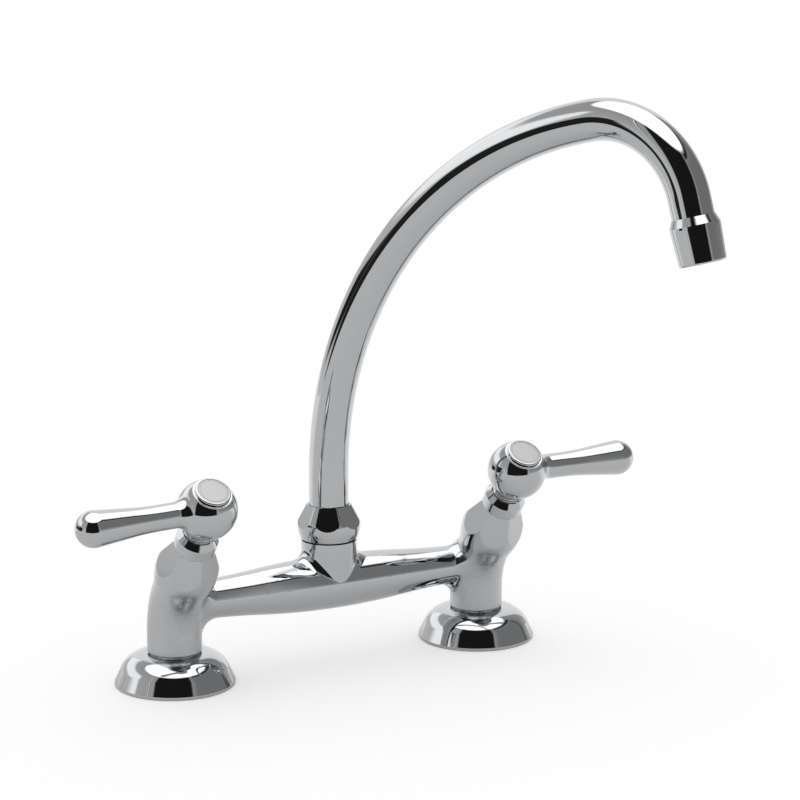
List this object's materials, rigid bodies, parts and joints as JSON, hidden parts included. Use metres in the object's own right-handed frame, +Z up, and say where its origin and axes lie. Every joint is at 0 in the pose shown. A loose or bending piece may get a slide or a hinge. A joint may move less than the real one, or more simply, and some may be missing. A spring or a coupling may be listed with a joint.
{
  "type": "bridge kitchen faucet",
  "caption": "Deck-mounted bridge faucet: tilted lever valves on flanged posts feed a swelled bridge that carries a swivelling arched spout with an aerator.",
  "frame": {"origin": "on the deck plane, midway between the two posts, on the axis that the spout swivels about", "axes": "+X along the bridge towards the right-hand post, -Y towards the user, +Z up along the spout's swivel axis"},
  "size_m": [0.3645, 0.2757, 0.4113],
  "materials": {
    "chrome_body": "polished",
    "chrome_nut": "polished",
    "chrome_escutcheon": "polished",
    "chrome_trim": "polished",
    "chrome_handle": "polished",
    "chrome_spout": "polished",
    "chrome_aerator": "polished",
    "satin_index": "satin",
    "turned_brass": "turned",
    "zinc_steel": "zinc plated",
    "black_rubber": "moulded",
    "white_ceramic": "lapped",
    "white_nylon": "moulded"
  },
  "bodies": {
    "bridge": {"bridge_body": "chrome_body", "spout_nut": "chrome_nut", "left_escutcheon": "chrome_escutcheon", "left_escutcheon_gasket": "black_rubber", "left_shank": "turned_brass", "left_rubber_washer": "black_rubber", "left_steel_washer": "zinc_steel", "left_locknut": "turned_brass", "left_bonnet": "chrome_trim", "left_cartridge": "turned_brass", "left_cartridge_seal": "black_rubber", "left_seat_seal": "black_rubber", "left_fixed_disc": "white_ceramic", "right_escutcheon": "chrome_escutcheon", "right_escutcheon_gasket": "black_rubber", "right_shank": "turned_brass", "right_rubber_washer": "black_rubber", "right_steel_washer": "zinc_steel", "right_locknut": "turned_brass", "right_bonnet": "chrome_trim", "right_cartridge": "turned_brass", "right_cartridge_seal": "black_rubber", "right_seat_seal": "black_rubber", "right_fixed_disc": "white_ceramic"},
    "spout": {"spout_fitting": "turned_brass", "lower_spout_seal": "black_rubber", "upper_spout_seal": "black_rubber", "spout_glide_ring": "white_nylon", "spout_tube": "chrome_spout", "aerator_housing": "chrome_aerator", "aerator_washer": "black_rubber", "aerator_insert": "white_nylon"},
    "left_valve_handle": {"left_stem": "turned_brass", "left_stem_seal": "black_rubber", "left_moving_disc": "white_ceramic", "left_skirt_ring": "chrome_trim", "left_handle": "chrome_handle", "left_handle_screw": "zinc_steel", "left_handle_cap": "chrome_trim", "left_index_disc": "satin_index"},
    "right_valve_handle": {"right_stem": "turned_brass", "right_stem_seal": "black_rubber", "right_moving_disc": "white_ceramic", "right_skirt_ring": "chrome_trim", "right_handle": "chrome_handle", "right_handle_screw": "zinc_steel", "right_handle_cap": "chrome_trim", "right_index_disc": "satin_index"}
  },
  "joints": [
    {"name": "spout_swivel", "type": "hinge", "parent": "bridge", "child": "spout", "pos_m": [0, 0, 0.084], "axis": [0, 0, 1], "continuous": true},
    {"name": "left_handle_turn", "type": "hinge", "parent": "bridge", "child": "left_valve_handle", "pos_m": [-0.1016, -0.04795, 0.11498], "axis": [0, -0.5736, 0.8192], "range_deg": [0, 90]},
    {"name": "right_handle_turn", "type": "hinge", "parent": "bridge", "child": "right_valve_handle", "pos_m": [0.1016, -0.04795, 0.11498], "axis": [0, 0.5736, -0.8192], "range_deg": [0, 90]}
  ]
}
